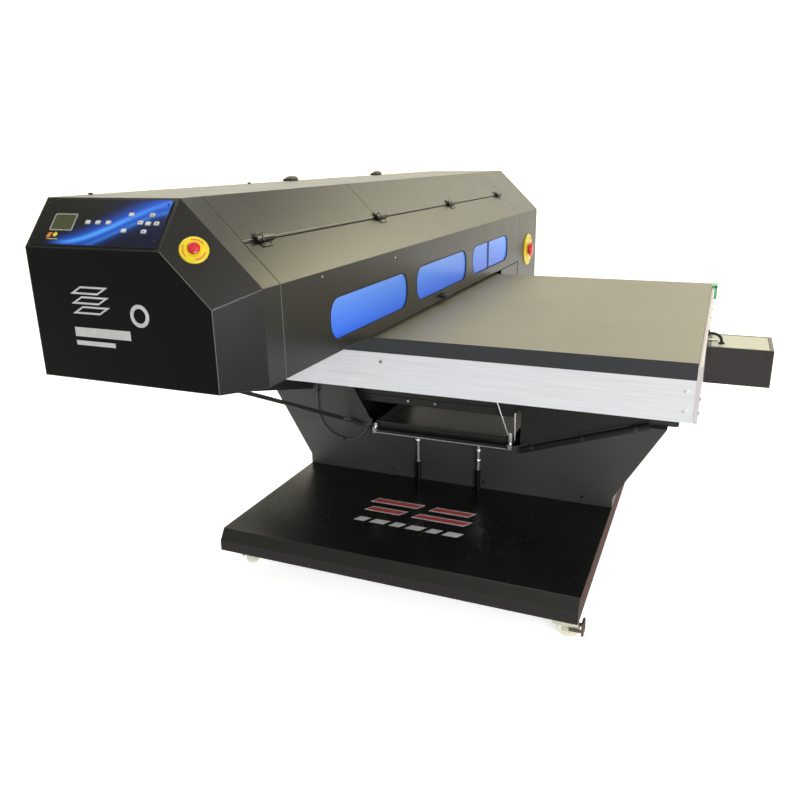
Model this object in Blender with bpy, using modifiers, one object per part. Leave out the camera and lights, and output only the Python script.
"""Flatbed UV printer: a moving bed on a flared pedestal, under a long hood that holds the print carriage.

Metres, +Z up. X runs along the hood (the control end is at -X), the bed projects to the front, -Y.
The origin is the middle of the bounding box, on the floor.
"""

import math

import bmesh
import bpy
from mathutils import Matrix, Vector

# Clearances
SHEET = 0.003  # sheet metal thickness
FIT = 0.0003  # gap between pieces that rest on each other
SEAM = 0.002  # visible gap between neighbouring panels
RUN = 0.0005  # running clearance

# Hood: outline in Y and Z, then places along X
HOOD_HALF = 1.272
HOOD_TAPER = 0.081  # length of each mitred end
HOOD_FRONT = 0.0315
HOOD_REAR = 0.566
HOOD_BOTTOM = 0.727
HOOD_TOP = 1.108
FOLD_Z = 0.933  # where the front face turns into the slope
SLOPE_TOP_Y = 0.2115
END_FRONT = 0.099
END_TOP = 1.010
NEAR_SEAM_X = -1.124
FAR_SEAM_X = 0.862
FAR_BOTTOM = 0.570
MID_SEAM_X = -0.450
HINGE_Y = 0.1142
LID_HINGES_X = (-1.050, -0.435, 0.180, 0.795)
REAR_HINGES_X = (-0.160, 0.533)
REAR_AXIS_OUT = 0.0055  # the upper lid's axis, from the rear top edge
REAR_AXIS_UP = 0.003
PAN_END_X = -0.870
BARREL_R = 0.005
BARREL_LENGTH = 0.062

# Front lid windows
WINDOWS_X = (-0.674, -0.121, 0.432)
WINDOW_WIDTH = 0.480
WINDOW_LOW = 0.760
WINDOW_HIGH = 0.864
WINDOW_CORNER = 0.044
LATCH_X = -0.131
LATCH_Z = 0.742

# Emergency stops
STOP_NEAR = (-1.2299, 0.1593)
STOP_NEAR_R = 0.0295
STOP_FAR = (1.026, 0.762)
STOP_FAR_R = 0.070
STOP_TRAVEL = 0.004

# Bed
TABLE_X = -0.0576  # middle of the bed and of the pedestal
TABLE_HALF = 0.600
TABLE_FRONT = -0.783
TABLE_LENGTH = 1.1935
BED_TOP = 0.7164
BAND_BOTTOM = 0.6745
TABLE_BOTTOM = 0.5692
PROFILE_WIDTH = 0.040
END_PLATE = 0.010
SADDLES_Y = (-0.640, -0.140)

# Base and pedestal
BASE_HALF = 0.7696
BASE_TOP_HALF = 0.7466
BASE_Y = -0.0455
BASE_HALF_Y = 0.527
BASE_BOTTOM = 0.072
BASE_EDGE = 0.102
BASE_TOP = 0.135
PEDESTAL_HALF = 0.207
WAIST_Z = 0.170
SHOULDER_Z = 0.409
SHOULDER_HALF_Y = 0.666
CREST_Z = 0.553
CUT_Z = 0.297
CUT_REAR_Y = 0.2285
CUT_FRONT_Y = -0.2615
CUT_LIP_Y = -0.596

# Rails under the bed
BEAM_OFFSET = 0.150
BEAM_WIDTH = 0.050
BEAM_TOP = 0.520
BEAM_FRONT = -0.7375
BEAM_REAR = 0.9615
RAIL = 0.015

# Gantry and carriage
BRACKET_Y = (0.462, 0.516)
UPRIGHT_IN = 0.608  # from the middle of the bed
UPRIGHT_OUT = 0.638
GANTRY_LOW = 0.840
GANTRY_HIGH = 0.920
GANTRY_FRONT = 0.440
GANTRY_REAR = 0.520
GANTRY_HALF = 1.100
PARK_X = 0.700
HEAD_Y = 0.240
PULLEY_X = 1.060
PULLEY_Z = 0.902
PULLEY_R = 0.014
BELT_T = 0.0015

# Casters
CASTER_X = 0.7145
CASTER_Y = 0.4695
WHEEL_R = 0.029
WHEEL_WIDTH = 0.021
TRAIL = 0.026

COLLECTION = bpy.data.collections.new("flatbed_uv_printer")
CUTTERS = bpy.data.collections.new("cutters")


def clear_scene():
    for obj in list(bpy.data.objects):
        bpy.data.objects.remove(obj, do_unlink=True)
    bpy.context.scene.collection.children.link(COLLECTION)
    bpy.context.scene.collection.children.link(CUTTERS)


def material(name, color, roughness, metallic=0.0):
    mat = bpy.data.materials.new(name)
    mat.use_nodes = True
    shader = mat.node_tree.nodes["Principled BSDF"]
    shader.inputs["Base Color"].default_value = (*color, 1.0)
    shader.inputs["Roughness"].default_value = roughness
    shader.inputs["Metallic"].default_value = metallic
    return mat


def paint_set():
    return {
        "black": material("black_paint", (0.018, 0.018, 0.017), 0.38),
        "frame": material("frame_paint", (0.03, 0.03, 0.03), 0.5),
        "alloy": material("alloy", (0.78, 0.79, 0.81), 0.32, 1.0),
        "steel": material("steel", (0.55, 0.55, 0.56), 0.3, 1.0),
        "bed": material("bed_top", (0.42, 0.40, 0.35), 0.45),
        "window": material("window_film", (0.08, 0.22, 0.85), 0.15),
        "panel": material("control_panel", (0.02, 0.04, 0.16), 0.3),
        "yellow": material("yellow_plastic", (0.95, 0.72, 0.03), 0.4),
        "red": material("red_plastic", (0.75, 0.03, 0.02), 0.35),
        "nylon": material("white_nylon", (0.85, 0.85, 0.82), 0.45),
        "rubber": material("rubber", (0.015, 0.015, 0.015), 0.7),
        "cable": material("cable", (0.35, 0.36, 0.37), 0.5),
        "plastic": material("dark_plastic", (0.05, 0.05, 0.055), 0.45),
    }


def mesh_object(name, mesh, mat, location=(0.0, 0.0, 0.0)):
    obj = bpy.data.objects.new(name, mesh)
    obj.location = location
    if mat is not None:
        mesh.materials.clear()
        mesh.materials.append(mat)
    COLLECTION.objects.link(obj)
    return obj


def finish_mesh(name, bm, mat, location=(0.0, 0.0, 0.0), smooth=False):
    bmesh.ops.recalc_face_normals(bm, faces=bm.faces)
    mesh = bpy.data.meshes.new(name)
    bm.to_mesh(mesh)
    bm.free()
    if smooth:
        mesh.shade_smooth()
        mesh.set_sharp_from_angle(angle=math.radians(35))
    return mesh_object(name, mesh, mat, location)


def box(name, low, high, mat):
    """A box between two corners, with its origin at its middle."""
    low, high = Vector(low), Vector(high)
    bm = bmesh.new()
    bmesh.ops.create_cube(bm, size=1.0)
    bmesh.ops.scale(bm, vec=high - low, verts=bm.verts)
    return finish_mesh(name, bm, mat, (low + high) / 2)


def cylinder(name, radius, start, end, mat, segments=32, top_radius=None):
    """A cylinder or cone from start to end, with its origin at its middle."""
    start, end = Vector(start), Vector(end)
    axis = end - start
    bm = bmesh.new()
    bmesh.ops.create_cone(
        bm,
        cap_ends=True,
        segments=segments,
        radius1=radius,
        radius2=radius if top_radius is None else top_radius,
        depth=axis.length,
    )
    obj = finish_mesh(name, bm, mat, (start + end) / 2, smooth=True)
    obj.rotation_euler = axis.to_track_quat("Z", "Y").to_euler()
    return obj


def curve_to_mesh(obj, mat):
    """The curve's evaluated mesh as an object of its own, with its caps welded on."""
    evaluated = obj.evaluated_get(bpy.context.evaluated_depsgraph_get())
    mesh = bpy.data.meshes.new_from_object(evaluated)
    bm = bmesh.new()
    bm.from_mesh(mesh)
    bmesh.ops.remove_doubles(bm, verts=bm.verts, dist=0.00001)
    bmesh.ops.recalc_face_normals(bm, faces=bm.faces)
    bm.to_mesh(mesh)
    bm.free()
    made = mesh_object(obj.name, mesh, mat)
    made.matrix_world = obj.matrix_world
    name = obj.name
    bpy.data.objects.remove(obj, do_unlink=True)
    made.name = name
    return made


def plate(name, outline, thickness, matrix, mat):
    """A flat outline, centred on its local XY plane, placed by matrix."""
    curve = bpy.data.curves.new(name, "CURVE")
    curve.dimensions = "2D"
    curve.fill_mode = "BOTH"
    curve.extrude = thickness / 2
    spline = curve.splines.new("POLY")
    spline.points.add(len(outline) - 1)
    for point, (u, v) in zip(spline.points, outline):
        point.co = (u, v, 0.0, 1.0)
    spline.use_cyclic_u = True
    obj = bpy.data.objects.new(name, curve)
    COLLECTION.objects.link(obj)
    obj.matrix_world = matrix
    bpy.context.view_layer.update()
    return curve_to_mesh(obj, mat)


def facing_x(x):
    """Local X to +Y and local Y to +Z, at a place along X."""
    return Matrix(((0, 0, 1, x), (1, 0, 0, 0), (0, 1, 0, 0), (0, 0, 0, 1)))


def facing_y(y):
    """Local X to -X and local Y to +Z, at a place along Y."""
    return Matrix(((-1, 0, 0, 0), (0, 0, 1, y), (0, 1, 0, 0), (0, 0, 0, 1)))


def tube(name, points, radius, mat, resolution=2):
    """A round wire or hose through the points."""
    curve = bpy.data.curves.new(name, "CURVE")
    curve.dimensions = "3D"
    curve.bevel_depth = radius
    curve.bevel_resolution = resolution
    curve.use_fill_caps = True
    spline = curve.splines.new("POLY")
    spline.points.add(len(points) - 1)
    for point, place in zip(spline.points, points):
        point.co = (*place, 1.0)
    curve.materials.append(mat)
    obj = bpy.data.objects.new(name, curve)
    COLLECTION.objects.link(obj)
    return obj


def smooth_route(points, count):
    """A Catmull-Rom curve through the points, read at even steps of each span."""
    knots = [Vector(p) for p in points]
    knots = [2 * knots[0] - knots[1], *knots, 2 * knots[-1] - knots[-2]]
    route = []
    for i in range(1, len(knots) - 2):
        a, b, c, d = knots[i - 1 : i + 3]
        for step in range(count):
            t = step / count
            route.append(
                0.5 * (2 * b + (c - a) * t + (2 * a - 5 * b + 4 * c - d) * t**2
                       + (3 * b - a - 3 * c + d) * t**3)
            )
    route.append(knots[-2])
    return route


def sheet(name, rings, mat, end_face=False, closed=False):
    """A sheet-metal shell: a loft through rings of points, thickened to the inside."""
    bm = bmesh.new()
    rows = [[bm.verts.new(p) for p in ring] for ring in rings]
    for first, second in zip(rows, rows[1:]):
        spans = len(first) if closed else len(first) - 1
        for i in range(spans):
            j = (i + 1) % len(first)
            bm.faces.new((first[i], first[j], second[j], second[i]))
    if end_face:
        bm.faces.new(rows[0])
    bmesh.ops.recalc_face_normals(bm, faces=bm.faces)
    mesh = bpy.data.meshes.new(name)
    bm.to_mesh(mesh)
    bm.free()
    obj = mesh_object(name, mesh, mat)
    middle = sum((v.co for v in mesh.vertices), Vector()) / len(mesh.vertices)
    face = max(mesh.polygons, key=lambda f: f.area)
    inward = (middle - face.center).dot(face.normal) > 0
    solid = obj.modifiers.new("Thickness", "SOLIDIFY")
    solid.thickness = SHEET
    solid.offset = 1.0 if inward else -1.0
    solid.use_even_offset = True
    return obj


def bent_sheet(name, profile, x_low, x_high, mat):
    """A folded sheet whose section in Y and Z is the profile."""
    rings = [[(x, y, z) for y, z in profile] for x in (x_low, x_high)]
    return sheet(name, rings, mat)


def as_cutter(obj):
    COLLECTION.objects.unlink(obj)
    CUTTERS.objects.link(obj)
    obj.hide_render = True
    obj.display_type = "WIRE"


def cut(obj, cutter):
    change = obj.modifiers.new("Cut", "BOOLEAN")
    change.operation = "DIFFERENCE"
    change.solver = "EXACT"
    change.object = cutter
    as_cutter(cutter)


def join(obj, addition):
    change = obj.modifiers.new("Join", "BOOLEAN")
    change.operation = "UNION"
    change.solver = "EXACT"
    change.object = addition
    as_cutter(addition)


def pivot(name, location, parent=None):
    """An empty on a joint's axis."""
    empty = bpy.data.objects.new(name, None)
    empty.empty_display_size = 0.05
    empty.location = location
    COLLECTION.objects.link(empty)
    bpy.context.view_layer.update()
    if parent is not None:
        keep_place(empty, parent)
    return empty


def keep_place(obj, parent):
    bpy.context.view_layer.update()
    world = obj.matrix_world.copy()
    obj.parent = parent
    obj.matrix_parent_inverse = parent.matrix_world.inverted()
    obj.matrix_world = world


def slope_z(y):
    """Height of the hood's sloping face at y."""
    return FOLD_Z + (y - HOOD_FRONT) * (HOOD_TOP - FOLD_Z) / (SLOPE_TOP_Y - HOOD_FRONT)


def slope_point(along, out):
    """A point in Y and Z, measured down the slope from the hinge line and out from the face."""
    down = Vector((HOOD_FRONT - SLOPE_TOP_Y, FOLD_Z - HOOD_TOP)).normalized()
    outward = Vector((down.y, -down.x))
    place = Vector((HINGE_Y, slope_z(HINGE_Y))) + along * down + out * outward
    return place.x, place.y


def rounded(width, height, radius, steps=6):
    """A rectangle with rounded corners, about its own middle."""
    points = []
    corners = ((1, 1, 0), (-1, 1, 90), (-1, -1, 180), (1, -1, 270))
    for sign_x, sign_y, start in corners:
        centre = (sign_x * (width / 2 - radius), sign_y * (height / 2 - radius))
        for i in range(steps + 1):
            angle = math.radians(start + 90 * i / steps)
            points.append((centre[0] + radius * math.cos(angle), centre[1] + radius * math.sin(angle)))
    return points


# ---------------------------------------------------------------- hood


def end_cap(name, outer_x, seam_x, bottom, mat):
    """One end of the hood: the mitred taper and a straight stretch up to the seam."""
    side = 1 if outer_x > 0 else -1
    fold_x = outer_x - side * HOOD_TAPER
    end_fold_z = END_TOP - (SLOPE_TOP_Y - END_FRONT) * (slope_z(1) - slope_z(0))
    end = [
        (END_FRONT, bottom),
        (END_FRONT, end_fold_z),
        (SLOPE_TOP_Y, END_TOP),
        (HOOD_REAR, END_TOP),
        (HOOD_REAR, bottom),
    ]
    full = [
        (HOOD_FRONT, bottom),
        (HOOD_FRONT, FOLD_Z),
        (SLOPE_TOP_Y, HOOD_TOP),
        (HOOD_REAR, HOOD_TOP),
        (HOOD_REAR, bottom),
    ]
    rings = [[(outer_x, y, z) for y, z in end]]
    for x in (fold_x, seam_x + side * SEAM / 2):
        rings.append([(x, y, z) for y, z in full])
    return sheet(name, rings, mat, end_face=True, closed=True)


def rear_shell(mats):
    """The rear wall, folded under the upper panels and, at the near end, under the hood."""
    flange = 0.022
    under = HOOD_TOP - SHEET - FIT
    profile = [(HOOD_REAR, HOOD_BOTTOM), (HOOD_REAR, under), (HOOD_REAR - flange, under)]
    shell = bent_sheet("rear_shell", profile, NEAR_SEAM_X + SEAM / 2, FAR_SEAM_X - SEAM / 2, mats["black"])
    pan_low = (NEAR_SEAM_X + 0.004, HOOD_FRONT + 0.022, HOOD_BOTTOM + 0.0005)
    pan_high = (PAN_END_X, HOOD_REAR - 0.001, HOOD_BOTTOM + 0.0035)
    join(shell, box("floor_pan", pan_low, pan_high, None))
    y = HOOD_REAR + REAR_AXIS_OUT
    z = HOOD_TOP + REAR_AXIS_UP
    half = BARREL_LENGTH / 2
    for index, x in enumerate(REAR_HINGES_X):
        leaf_low = (x - half - 0.002, HOOD_REAR - 0.001, z - 0.040)
        join(shell, box(f"leaf_{index}", leaf_low, (x + half + 0.002, HOOD_REAR + 0.0034, z - 0.008), None))
        tab_low = (x - half + 0.001, HOOD_REAR + 0.0008, z - 0.010)
        join(shell, box(f"tab_rear_{index}", tab_low, (x + half - 0.001, HOOD_REAR + 0.003, z), None))
        ends = ((x - half, y, z), (x + half, y, z))
        join(shell, cylinder(f"barrel_rear_{index}", BARREL_R, *ends, None, 16))
    return shell


def hinge_notch(x):
    """Room for one hinge barrel in the panel above the seam."""
    length = BARREL_LENGTH + 0.006
    corners = ((-0.013, -0.006), (0.004, -0.006), (0.004, 0.02), (-0.013, 0.02))
    outline = [slope_point(along, out) for along, out in corners]
    return plate(f"notch_{x:.3f}", outline, length, facing_x(x), None)


def upper_cover(name, x_low, x_high, hinges, mat):
    """The upper slope and the flat top, notched round the lid's hinges."""
    first = slope_point(-SEAM, 0)
    profile = [first, (SLOPE_TOP_Y, HOOD_TOP), (HOOD_REAR, HOOD_TOP)]
    cover = bent_sheet(name, profile, x_low, x_high, mat)
    for x in hinges:
        cut(cover, hinge_notch(x))
    return cover


def front_lid(mats):
    lip = 0.016
    profile = [
        slope_point(SEAM, 0),
        (HOOD_FRONT, FOLD_Z),
        (HOOD_FRONT, HOOD_BOTTOM + SEAM),
        (HOOD_FRONT + lip, HOOD_BOTTOM + SEAM),
    ]
    lid = bent_sheet("front_lid", profile, NEAR_SEAM_X + SEAM / 2, FAR_SEAM_X - SEAM / 2, mats["black"])
    height = WINDOW_HIGH - WINDOW_LOW
    middle = (WINDOW_LOW + WINDOW_HIGH) / 2
    for x in WINDOWS_X:
        opening = rounded(WINDOW_WIDTH, height, WINDOW_CORNER)
        outline = [(u - x, v + middle) for u, v in opening]
        cut(lid, plate(f"window_cut_{x:.3f}", outline, 0.02, facing_y(HOOD_FRONT), None))
    shaft = cylinder(
        "latch_cut",
        0.0065,
        (LATCH_X, HOOD_FRONT - 0.01, LATCH_Z),
        (LATCH_X, HOOD_FRONT + 0.01, LATCH_Z),
        None,
        24,
    )
    cut(lid, shaft)
    return lid


def windows(mats):
    """Tinted panes behind the lid's openings."""
    border = 0.008
    pane = 0.003
    low, high = WINDOW_LOW - border, WINDOW_HIGH + border
    outline = rounded(WINDOW_WIDTH + 2 * border, high - low, WINDOW_CORNER + border, 5)
    y = HOOD_FRONT + SHEET + FIT + pane / 2
    made = []
    for name, x in zip(("window_left", "window_middle", "window_right"), WINDOWS_X):
        shifted = [(u - x, v + (low + high) / 2) for u, v in outline]
        made.append(plate(name, shifted, pane, facing_y(y), mats["window"]))
    return made


def lid_latch(mats):
    """Quarter-turn latch: a wing outside, a shaft through the lid and a cam inside."""
    x = LATCH_X
    base = HOOD_FRONT - FIT
    shaft = ((x, base - 0.004, LATCH_Z), (x, HOOD_FRONT + 0.009, LATCH_Z))
    latch = cylinder("lid_latch", 0.0055, *shaft, mats["plastic"], 24)
    join(latch, cylinder("latch_collar", 0.010, (x, base - 0.006, LATCH_Z), (x, base, LATCH_Z), None, 24))
    wing_low = (x - 0.019, base - 0.016, LATCH_Z - 0.0045)
    join(latch, box("latch_wing", wing_low, (x + 0.019, base - 0.005, LATCH_Z + 0.0045), None))
    cam_low = (x - 0.0065, HOOD_FRONT + 0.0072, LATCH_Z - 0.0062)
    join(latch, box("latch_cam", cam_low, (x + 0.022, HOOD_FRONT + 0.0105, LATCH_Z + 0.0062), None))
    return latch


def lid_hinge_rail(mats):
    """The bar under the seam, with four hinge barrels standing through it."""
    corners = ((-0.030, -0.012), (0.001, -0.012), (0.001, -0.0045), (-0.030, -0.0045))
    bar = [slope_point(along, out) for along, out in corners]
    low, high = NEAR_SEAM_X + 0.006, FAR_SEAM_X - 0.006
    rail = plate("lid_hinge_rail", bar, high - low, facing_x((low + high) / 2), mats["frame"])
    centre = BARREL_R + 0.0006
    for x in LID_HINGES_X:
        corners = ((-0.001, -0.006), (0.0008, -0.006), (0.0008, centre), (-0.001, centre))
        tab = [slope_point(along, out) for along, out in corners]
        join(rail, plate(f"tab_{x:.3f}", tab, BARREL_LENGTH - 0.002, facing_x(x), None))
        y, z = slope_point(0, centre)
        half = BARREL_LENGTH / 2
        join(rail, cylinder(f"barrel_{x:.3f}", BARREL_R, (x - half, y, z), (x + half, y, z), None, 16))
    return rail


def add_service_housing(cap):
    """The far end's open-topped box beside the bed, under the carriage's parking place."""
    left = TABLE_X + UPRIGHT_OUT + 0.010
    low = Vector((left, HOOD_FRONT + 0.001, FAR_BOTTOM + 0.0005))
    high = Vector((FAR_SEAM_X + 0.006, 0.450, HOOD_BOTTOM - SEAM))
    join(cap, box("housing", low, high, None))
    inner_low = low + Vector((SHEET, SHEET, SHEET))
    inner_high = high + Vector((0.05, -SHEET, 0.01))
    cut(cap, box("housing_space", inner_low, inner_high, None))


def mitre_normal():
    """Outward normal of the near end's mitred slope."""
    up = Vector((HOOD_TAPER, 0, HOOD_TOP - END_TOP))
    along = Vector((0, SLOPE_TOP_Y - HOOD_FRONT, HOOD_TOP - FOLD_Z))
    return up.cross(along).normalized()


def mitre_point(x, y):
    """The point of the near mitred slope above x and y."""
    corner = Vector((-HOOD_HALF + HOOD_TAPER, SLOPE_TOP_Y, HOOD_TOP))
    normal = mitre_normal()
    z = corner.z - (normal.x * (x - corner.x) + normal.y * (y - corner.y)) / normal.z
    return Vector((x, y, z))


def emergency_stop(side, centre, outward, radius, mats):
    """A yellow base with a bore and a mushroom button whose stem slides in it."""
    thick = 0.05 * radius + 0.003
    start = centre + outward * FIT
    top = centre + outward * thick
    base = cylinder(f"stop_base_{side}", radius, start, top, mats["yellow"], 40, radius * 0.94)
    bore_r = 0.16 * radius + 0.003
    bore = cylinder(f"bore_{side}", bore_r, centre + outward * 0.001, top + outward * 0.005, None, 24)
    cut(base, bore)
    stem_end = top + outward * (STOP_TRAVEL + 0.006)
    foot = centre + outward * (0.0015 + STOP_TRAVEL)
    stem = cylinder(f"stop_button_{side}", bore_r - 0.0008, foot, stem_end, mats["red"], 24)
    head_r = 0.42 * radius
    head_low = top + outward * (STOP_TRAVEL + 0.001)
    head_high = head_low + outward * 0.22 * head_r
    rim = cylinder(f"button_rim_{side}", head_r * 0.9, head_low, head_high, None, 32, head_r)
    dome_low, dome_high = head_high - outward * 0.0004, head_high + outward * 0.20 * head_r
    dome = cylinder(f"button_dome_{side}", head_r * 0.97, dome_low, dome_high, None, 32, head_r * 0.6)
    join(stem, rim)
    join(stem, dome)
    return base, stem


def control_panel(mats):
    """The overlay plate on the sloping face of the near end."""
    along = Vector((0, -1, 0))
    up = Vector((HOOD_TAPER, 0, HOOD_TOP - END_TOP)).normalized()
    out = along.cross(up).normalized()
    if out.z < 0:
        out = -out
    length = Vector((HOOD_TAPER, 0, HOOD_TOP - END_TOP)).length
    low_y, high_y = SLOPE_TOP_Y + 0.010, HOOD_REAR - 0.008
    thickness = 0.002
    centre = Vector((-HOOD_HALF + HOOD_TAPER / 2, (low_y + high_y) / 2, (END_TOP + HOOD_TOP) / 2))
    centre += out * (thickness / 2 + FIT)
    matrix = Matrix.Translation(centre) @ Matrix((along, up, along.cross(up))).transposed().to_4x4()
    outline = rounded(high_y - low_y, length * 0.9, 0.006, 3)
    return plate("control_panel", outline, thickness, matrix, mats["panel"])


def hood(mats):
    end_cap("end_cap_near", -HOOD_HALF, NEAR_SEAM_X, HOOD_BOTTOM, mats["black"])
    far_cap = end_cap("end_cap_far", HOOD_HALF, FAR_SEAM_X, FAR_BOTTOM, mats["black"])
    add_service_housing(far_cap)
    rear_shell(mats)
    panel_x = (NEAR_SEAM_X + SEAM / 2, MID_SEAM_X - SEAM / 2)
    upper_cover("upper_panel", *panel_x, LID_HINGES_X[:2], mats["black"])
    lid_hinge_rail(mats)
    hinge_line = pivot("front_lid_axis", (0, *slope_point(0, BARREL_R + 0.0006)))
    lid = front_lid(mats)
    latch = lid_latch(mats)
    for piece in (lid, *windows(mats)):
        keep_place(piece, hinge_line)
    latch_axis = pivot("latch_axis", (LATCH_X, HOOD_FRONT, LATCH_Z), hinge_line)
    keep_place(latch, latch_axis)
    rear_axis = pivot("upper_lid_axis", (0, HOOD_REAR + REAR_AXIS_OUT, HOOD_TOP + REAR_AXIS_UP))
    lid_x = (MID_SEAM_X + SEAM / 2, FAR_SEAM_X - SEAM / 2)
    upper_lid = upper_cover("upper_lid", *lid_x, LID_HINGES_X[1:], mats["black"])
    keep_place(upper_lid, rear_axis)
    control_panel(mats)
    far_point = Vector((STOP_FAR[0], HOOD_FRONT, STOP_FAR[1]))
    for side, centre, outward, radius in (
        ("near", mitre_point(*STOP_NEAR), mitre_normal(), STOP_NEAR_R),
        ("far", far_point, Vector((0, -1, 0)), STOP_FAR_R),
    ):
        button = emergency_stop(side, centre, outward, radius, mats)[1]
        keep_place(button, pivot(f"stop_{side}_axis", centre))


# ---------------------------------------------------------------- bed


def bed_plate(mats):
    """The print bed: a stiff top with a deep black edge, open below."""
    low = Vector((TABLE_X - TABLE_HALF, TABLE_FRONT, BAND_BOTTOM + FIT))
    high = Vector((TABLE_X + TABLE_HALF, TABLE_FRONT + TABLE_LENGTH, BED_TOP))
    bed = box("bed_plate", low, high, mats["bed"])
    wall = Vector((0.012, 0.012, 0))
    space_low = low + wall - Vector((0, 0, 0.02))
    cut(bed, box("bed_space", space_low, high - wall - Vector((0, 0, 0.012)), None))
    return bed


def side_profile(name, side, mats):
    """An aluminium profile along one side of the bed, grooved on its outer face."""
    outer = TABLE_X + side * TABLE_HALF
    groove = 0.0007
    lines = ((0.14, 0.03), (0.40, 0.025), (0.62, 0.025), (0.86, 0.03))
    height = BAND_BOTTOM - TABLE_BOTTOM
    outline = [(0, 0), (0, height), (PROFILE_WIDTH, height)]
    for middle, width in sorted(lines, reverse=True):
        top, bottom = (middle + width / 2) * height, (middle - width / 2) * height
        outline += [(PROFILE_WIDTH, top), (PROFILE_WIDTH - groove, top)]
        outline += [(PROFILE_WIDTH - groove, bottom), (PROFILE_WIDTH, bottom)]
    outline.append((PROFILE_WIDTH, 0))
    inner = outer - side * PROFILE_WIDTH
    placed = [(-(inner + side * u), TABLE_BOTTOM + v) for u, v in outline]
    middle_y = TABLE_FRONT + TABLE_LENGTH / 2
    return plate(name, placed, TABLE_LENGTH, facing_y(middle_y), mats["alloy"])


def end_plate(name, y_low, y_high, mats):
    low = (TABLE_X - TABLE_HALF, y_low, TABLE_BOTTOM)
    high = (TABLE_X + TABLE_HALF, y_high, BED_TOP - 0.008)
    return box(name, low, high, mats["alloy"])


def saddle(name, y, mats):
    """A square tube across the bed with a bearing block for each rail under it."""
    reach = TABLE_HALF - PROFILE_WIDTH - FIT
    low = Vector((TABLE_X - reach, y - 0.030, 0.5738))
    high = Vector((TABLE_X + reach, y + 0.030, 0.6138))
    beam = box(name, low, high, mats["frame"])
    wall = Vector((-0.01, 0.003, 0.003))
    cut(beam, box(f"{name}_space", low + wall, high - wall, None))
    rail_top = BEAM_TOP + FIT + RAIL
    for side, offset in (("near", -BEAM_OFFSET), ("far", BEAM_OFFSET)):
        x = TABLE_X + offset
        block_low = (x - 0.024, y - 0.042, BEAM_TOP + 0.004)
        join(beam, box(f"{name}_block_{side}", block_low, (x + 0.024, y + 0.042, 0.5750), None))
        groove_low = (x - RAIL / 2 - RUN, y - 0.1, BEAM_TOP - 0.01)
        groove_high = (x + RAIL / 2 + RUN, y + 0.1, rail_top + RUN)
        cut(beam, box(f"{name}_groove_{side}", groove_low, groove_high, None))
    return beam


def control_box(mats):
    """The dark box that hangs on the bed's front end."""
    back = TABLE_FRONT - END_PLATE - FIT
    low = (-0.289, BEAM_FRONT - 0.224, TABLE_BOTTOM)
    high = (-0.113, back, 0.670)
    return box("control_box", low, high, mats["black"])


def box_cable(mats):
    """Short lead from the bed's front plate into the top of the control box."""
    x = -0.237
    plate_y = TABLE_FRONT - END_PLATE
    bend = [(-0.008, 0.6985), (-0.021, 0.6965), (-0.0325, 0.6890), (-0.0365, 0.6780)]
    route = smooth_route([(x, plate_y + out, z) for out, z in bend], 3)
    start = Vector((x, plate_y - FIT, route[0].z))
    end = Vector((x, route[-1].y, 0.670 + FIT))
    return tube("box_cable", [start, *route, end], 0.004, mats["rubber"])


def table(mats):
    slide = pivot("table_axis", (TABLE_X, TABLE_FRONT, TABLE_BOTTOM))
    pieces = [bed_plate(mats)]
    pieces.append(side_profile("profile_near", -1, mats))
    pieces.append(side_profile("profile_far", 1, mats))
    rear = TABLE_FRONT + TABLE_LENGTH
    pieces.append(end_plate("end_plate_front", TABLE_FRONT - END_PLATE, TABLE_FRONT - FIT, mats))
    pieces.append(end_plate("end_plate_rear", rear + FIT, rear + END_PLATE, mats))
    for place, y in zip(("front", "rear"), SADDLES_Y):
        pieces.append(saddle(f"saddle_{place}", y, mats))
    pieces.append(control_box(mats))
    pieces.append(box_cable(mats))
    for piece in pieces:
        keep_place(piece, slide)


# ---------------------------------------------------------------- pedestal and base


def flare(side, z):
    """The pedestal's edge in Y at a height above the waist."""
    rate = (SHOULDER_HALF_Y - BASE_HALF_Y) / (SHOULDER_Z - WAIST_Z)
    return BASE_Y + side * (BASE_HALF_Y + rate * (z - WAIST_Z))


def side_panel(name, side, mats):
    """One flared side of the pedestal, cut out in the middle and raised at the rear."""
    rise = (SHOULDER_Z - CUT_Z) / 0.063
    crest_y = CUT_REAR_Y + (CREST_Z - CUT_Z) / rise
    foot = BASE_TOP + FIT
    outline = [
        (BASE_Y + BASE_HALF_Y, foot),
        (BASE_Y + BASE_HALF_Y, WAIST_Z),
        (flare(1, CREST_Z), CREST_Z),
        (crest_y, CREST_Z),
        (CUT_REAR_Y, CUT_Z),
        (CUT_FRONT_Y, CUT_Z),
        (CUT_LIP_Y, SHOULDER_Z),
        (flare(-1, SHOULDER_Z), SHOULDER_Z),
        (BASE_Y - BASE_HALF_Y, WAIST_Z),
        (BASE_Y - BASE_HALF_Y, foot),
    ]
    x = TABLE_X + side * (PEDESTAL_HALF - SHEET / 2)
    return plate(name, outline, SHEET, facing_x(x), mats["black"])


def skirt(name, side, mats):
    """The sheet that closes the front or rear of the pedestal and carries the beams."""
    inset = side * FIT
    top = SHOULDER_Z
    tip = flare(side, top) - inset
    edge = BASE_Y + side * BASE_HALF_Y - inset
    reach = PEDESTAL_HALF - SHEET - FIT
    profile = [(edge, BASE_TOP + FIT), (edge, WAIST_Z), (tip, top), (tip - side * 0.10, top)]
    return bent_sheet(name, profile, TABLE_X - reach, TABLE_X + reach, mats["black"])


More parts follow.
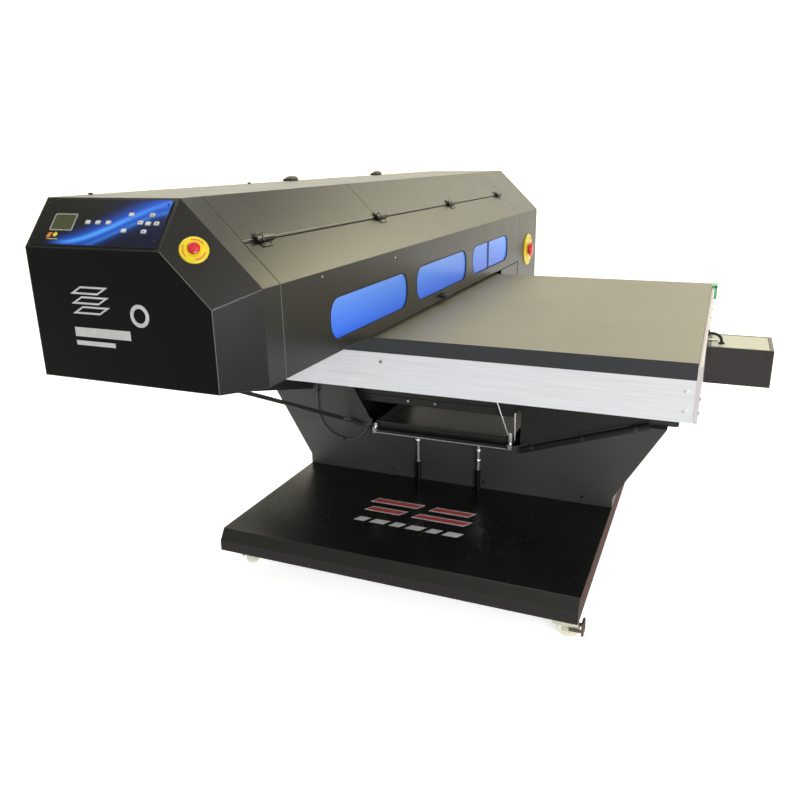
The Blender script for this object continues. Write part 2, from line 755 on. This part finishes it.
def base_cover(mats):
    """The wide low plinth: a folded cover with chamfered long edges, open below."""
    rows = ((BASE_HALF, BASE_BOTTOM), (BASE_HALF, BASE_EDGE), (BASE_TOP_HALF, BASE_TOP))
    outline = [(-(TABLE_X + w), z) for w, z in rows] + [(-(TABLE_X - w), z) for w, z in reversed(rows)]
    cover = plate("base_cover", outline, 2 * BASE_HALF_Y, facing_y(BASE_Y), mats["black"])
    inner = [(-(TABLE_X + w - SHEET), z - SHEET) for w, z in rows]
    inner += [(-(TABLE_X - w + SHEET), z - SHEET) for w, z in reversed(rows)]
    inner[0] = (inner[0][0], BASE_BOTTOM - 0.01)
    inner[-1] = (inner[-1][0], BASE_BOTTOM - 0.01)
    cut(cover, plate("base_space", inner, 2 * (BASE_HALF_Y - SHEET), facing_y(BASE_Y), None))
    return cover


def base_plate(mats):
    """The steel plate inside the cover's lower edge that the casters are bolted to."""
    reach = Vector((BASE_HALF - SHEET - 0.001, BASE_HALF_Y - SHEET - 0.001, 0))
    middle = Vector((TABLE_X, BASE_Y, BASE_BOTTOM))
    return box("base_plate", middle - reach, middle + reach + Vector((0, 0, 0.005)), mats["frame"])


def drip_tray(mats):
    """A shallow tray through the cut-outs, with a bright lip and two stud legs outside."""
    near = TABLE_X - PEDESTAL_HALF
    far = TABLE_X + PEDESTAL_HALF
    front, rear = CUT_FRONT_Y + 0.010, CUT_REAR_Y - 0.004
    low = Vector((near + SHEET + 0.001, front, CUT_Z + 0.0003))
    high = Vector((far - SHEET - 0.001, rear, CUT_Z + 0.028))
    tray = box("drip_tray", low, high, mats["alloy"])
    wall = Vector((0.002, 0.002, 0.002))
    cut(tray, box("tray_space", low + wall, high - wall + Vector((0, 0, 0.01)), None))
    lip_out = near - 0.018
    lip_low = (lip_out, front + 0.002, CUT_Z + 0.0008)
    join(tray, box("tray_lip", lip_low, (low.x + 0.0012, rear - 0.002, CUT_Z + 0.0038), None))
    edge_low = (lip_out - 0.0005, front + 0.001, CUT_Z - 0.008)
    join(tray, box("tray_edge", edge_low, (lip_out + 0.0025, rear - 0.001, CUT_Z + 0.0043), None))
    for index, y in enumerate((0.0655, -0.1435)):
        x = near - 0.011
        ends = ((x, y, BASE_TOP + 0.01), (x, y, CUT_Z + 0.002))
        join(tray, cylinder(f"stud_{index}", 0.004, *ends, None, 12))
        join(tray, cylinder(f"stud_foot_{index}", 0.008, (x, y, BASE_TOP + FIT), (x, y, 0.205), None, 16))
    return tray


def loop_cable(mats):
    """Thin cable clipped to the near side panel in a wide U."""
    face = TABLE_X - PEDESTAL_HALF
    x = face - 0.0065
    points = [(face - 0.004, 0.4405, 0.4480), (x, 0.4408, 0.4400)]
    points += [(x, 0.4430, 0.410), (x, 0.4450, 0.370)]
    radius, centre_y, centre_z = 0.100, 0.3430, 0.345
    for i in range(1, 9):
        angle = math.radians(-20 * i + 12)
        points.append((x, centre_y + radius * math.cos(angle), centre_z + radius * math.sin(angle)))
    points.append((face - 0.004, 0.2395, 0.3290))
    route = smooth_route(points, 2)
    ends = [Vector((face - FIT, p.y, p.z)) for p in (route[0], route[-1])]
    return tube("loop_cable", [ends[0], *route, ends[1]], 0.0032, mats["cable"])


def edge_hose(mats):
    """Black hose clipped along the front incline of the near side panel."""
    x = TABLE_X - PEDESTAL_HALF - 0.0105
    start = Vector((x, CUT_FRONT_Y - 0.022, CUT_Z - 0.006))
    end = Vector((x, CUT_LIP_Y - 0.068, SHOULDER_Z + 0.010))
    points = [start.lerp(end, i / 4) for i in range(5)]
    return tube("edge_hose", points, 0.0098, mats["rubber"], 3)


def hood_stay(mats):
    """The slanting tube that holds the hood's near end off the near side panel."""
    face = TABLE_X - PEDESTAL_HALF
    points = [
        (-1.1355, 0.4275, HOOD_BOTTOM - FIT),
        (-1.1355, 0.4275, 0.7205),
        (-1.1270, 0.4270, 0.7145),
        (-1.1000, 0.4247, 0.7040),
        (-0.7892, 0.3945, 0.5656),
        (-0.3100, 0.3479, 0.3400),
        (-0.2880, 0.3380, 0.3285),
        (-0.2765, 0.3180, 0.3210),
        (face - 0.0069, 0.2960, 0.3145),
        (face - 0.0069, 0.2720, 0.3078),
    ]
    return tube("hood_stay", points, 0.0065, mats["frame"], 3)


def rail_beam(side_name, offset, mats):
    """A rectangular tube along Y with the linear rail on top of it."""
    x = TABLE_X + offset
    low = Vector((x - BEAM_WIDTH / 2, BEAM_FRONT, SHOULDER_Z + FIT))
    high = Vector((x + BEAM_WIDTH / 2, BEAM_REAR, BEAM_TOP))
    beam = box(f"y_beam_{side_name}", low, high, mats["frame"])
    wall = Vector((SHEET, -0.01, SHEET))
    cut(beam, box(f"beam_space_{side_name}", low + wall, high - wall, None))
    rail_low = (x - RAIL / 2, BEAM_FRONT + 0.006, BEAM_TOP + FIT)
    rail_high = (x + RAIL / 2, BEAM_REAR - 0.006, BEAM_TOP + FIT + RAIL)
    box(f"y_rail_{side_name}", rail_low, rail_high, mats["steel"])


def pedestal(mats):
    base_cover(mats)
    base_plate(mats)
    side_panel("side_panel_near", -1, mats)
    side_panel("side_panel_far", 1, mats)
    skirt("skirt_front", -1, mats)
    skirt("skirt_rear", 1, mats)
    drip_tray(mats)
    loop_cable(mats)
    edge_hose(mats)
    hood_stay(mats)
    rail_beam("near", -BEAM_OFFSET, mats)
    rail_beam("far", BEAM_OFFSET, mats)


# ---------------------------------------------------------------- gantry and carriage


def gantry_bracket(name, side, mats):
    """A tapered arm from the pedestal and an upright past the bed's edge."""
    root = PEDESTAL_HALF + FIT
    tip_low = 0.528
    outline = [
        (root, SHOULDER_Z + 0.006),
        (UPRIGHT_OUT, tip_low),
        (UPRIGHT_OUT, GANTRY_LOW - FIT),
        (UPRIGHT_IN, GANTRY_LOW - FIT),
        (UPRIGHT_IN, CREST_Z),
        (root, CREST_Z),
    ]
    placed = [(-(TABLE_X + side * u), v) for u, v in outline]
    middle = sum(BRACKET_Y) / 2
    return plate(name, placed, BRACKET_Y[1] - BRACKET_Y[0], facing_y(middle), mats["frame"])


def gantry(mats):
    low = Vector((-GANTRY_HALF, GANTRY_FRONT, GANTRY_LOW))
    high = Vector((GANTRY_HALF, GANTRY_REAR, GANTRY_HIGH))
    beam = box("gantry_beam", low, high, mats["alloy"])
    wall = Vector((-0.01, 0.004, 0.004))
    cut(beam, box("gantry_space", low + wall, high - wall, None))
    box("x_rail", (-1.03, GANTRY_FRONT - 0.0153, 0.848), (1.03, GANTRY_FRONT - FIT, 0.864), mats["steel"])
    gantry_bracket("gantry_bracket_near", -1, mats)
    gantry_bracket("gantry_bracket_far", 1, mats)


def carriage(mats):
    slide = pivot("carriage_axis", (PARK_X, HEAD_Y, 0.856))
    body_low = (PARK_X - 0.100, 0.160, 0.800)
    body = box("carriage", body_low, (PARK_X + 0.100, GANTRY_FRONT - 0.006, 0.880), mats["plastic"])
    groove_low = (PARK_X - 0.2, GANTRY_FRONT - 0.0153 - RUN, 0.848 - RUN)
    groove_high = (PARK_X + 0.2, GANTRY_FRONT, 0.864 + RUN)
    cut(body, box("carriage_groove", groove_low, groove_high, None))
    head_low = (PARK_X - 0.055, HEAD_Y - 0.060, 0.7285)
    head = box("print_head", head_low, (PARK_X + 0.055, HEAD_Y + 0.060, 0.7997), mats["steel"])
    pieces = [body, head]
    for side_name, side in (("left", -1), ("right", 1)):
        inner = PARK_X + side * 0.1003
        outer = PARK_X + side * 0.160
        low = (min(inner, outer), HEAD_Y - 0.075, 0.738)
        high = (max(inner, outer), HEAD_Y + 0.075, 0.862)
        pieces.append(box(f"uv_lamp_{side_name}", low, high, mats["alloy"]))
    for piece in pieces:
        keep_place(piece, slide)


def x_drive(mats):
    """Toothed belt, its two pulleys and the motor at the far end."""
    y_low, y_high = GANTRY_FRONT - 0.016, GANTRY_FRONT - 0.006
    inner_r = PULLEY_R + FIT
    outer_r = inner_r + BELT_T
    outline = []
    for centre, start in ((PULLEY_X, -90), (-PULLEY_X, 90)):
        for i in range(13):
            angle = math.radians(start + 15 * i)
            outline.append((centre, angle))
    loops = []
    for radius in (outer_r, inner_r):
        loops.append([(-(c + radius * math.cos(a)), PULLEY_Z + radius * math.sin(a)) for c, a in outline])
    middle = (y_low + y_high) / 2
    belt = plate("x_belt", loops[0], y_high - y_low, facing_y(middle), mats["rubber"])
    cut(belt, plate("belt_space", loops[1], 0.03, facing_y(middle), None))
    for side_name, x in (("idler", -PULLEY_X), ("drive", PULLEY_X)):
        ends = ((x, y_low, PULLEY_Z), (x, y_high, PULLEY_Z))
        pulley = cylinder(f"x_pulley_{side_name}", PULLEY_R, *ends, mats["steel"], 24)
        keep_place(pulley, pivot(f"x_pulley_{side_name}_axis", (x, middle, PULLEY_Z)))
    motor_low = (PULLEY_X - 0.028, y_low - 0.076, PULLEY_Z - 0.028)
    box("x_motor", motor_low, (PULLEY_X + 0.028, y_low - 0.0005, PULLEY_Z + 0.028), mats["plastic"])


def capping_station(mats):
    low = Vector((PARK_X - 0.065, HEAD_Y - 0.070, FAR_BOTTOM + SHEET + 0.0008))
    high = Vector((PARK_X + 0.065, HEAD_Y + 0.070, 0.7270))
    station = box("capping_station", low, high, mats["plastic"])
    well_low = high - Vector((0.115, 0.125, 0.006))
    cut(station, box("cap_well", well_low, high - Vector((0.015, 0.015, -0.01)), None))
    return station


# ---------------------------------------------------------------- casters


def caster(place, x, y, trail, mats):
    """A swivel caster: plate, fork and wheel. trail points from the swivel to the wheel's axle."""
    swivel = pivot(f"caster_{place}_swivel", (x, y, BASE_BOTTOM))
    axle = Vector((x, y, 0)) + trail * TRAIL
    axle.z = WHEEL_R
    across = Vector((-trail.y, trail.x, 0))
    half = 0.022
    plate_low, plate_high = (x - half, y - half, 0.0655), (x + half, y + half, BASE_BOTTOM - FIT)
    fork = box(f"caster_fork_{place}", plate_low, plate_high, mats["steel"])
    gap = WHEEL_WIDTH / 2 + 0.0012
    for sign in (-1, 1):
        middle = axle + across * sign * (gap + 0.00125)
        cheek_half = across * 0.00125 + trail * 0.011
        low = middle - Vector([abs(c) for c in cheek_half])
        high = middle + Vector([abs(c) for c in cheek_half])
        low.z = WHEEL_R - 0.010
        high.z = WHEEL_R + 0.012
        join(fork, box(f"cheek_{place}_{sign}", low, high, None))
        link = [(Vector((x, y, 0)) - trail * 0.014), axle + trail * 0.011]
        low = Vector([min(a, b) for a, b in zip(*link)]) - Vector([abs(c) for c in across * 0.00125])
        high = Vector([max(a, b) for a, b in zip(*link)]) + Vector([abs(c) for c in across * 0.00125])
        shift = across * sign * (gap + 0.00125)
        low.z, high.z = WHEEL_R + 0.006, 0.067
        join(fork, box(f"arm_{place}_{sign}", low + shift, high + shift, None))
    half = across * (gap + 0.0035)
    join(fork, cylinder(f"axle_{place}", 0.0035, axle - half, axle + half, None, 16))
    keep_place(fork, swivel)
    spin = pivot(f"caster_{place}_axle", axle, swivel)
    half = across * WHEEL_WIDTH / 2
    wheel = cylinder(f"caster_wheel_{place}", WHEEL_R, axle - half, axle + half, mats["nylon"], 48)
    long_half = across * 0.03
    cut(wheel, cylinder(f"hub_{place}", 0.0040, axle - long_half, axle + long_half, None, 16))
    keep_place(wheel, spin)


def casters(mats):
    forward = Vector((0, -1, 0))
    inward = Vector((1, 0, 0))
    for row_name, row, trail in (("front", -1, forward), ("rear", 1, inward)):
        for side_name, side in (("near", -1), ("far", 1)):
            x = TABLE_X + side * CASTER_X
            way = trail if row_name == "front" else inward * -side
            caster(f"{row_name}_{side_name}", x, BASE_Y + row * CASTER_Y, way, mats)


def main():
    clear_scene()
    mats = paint_set()
    hood(mats)
    table(mats)
    pedestal(mats)
    gantry(mats)
    carriage(mats)
    x_drive(mats)
    capping_station(mats)
    casters(mats)


main()
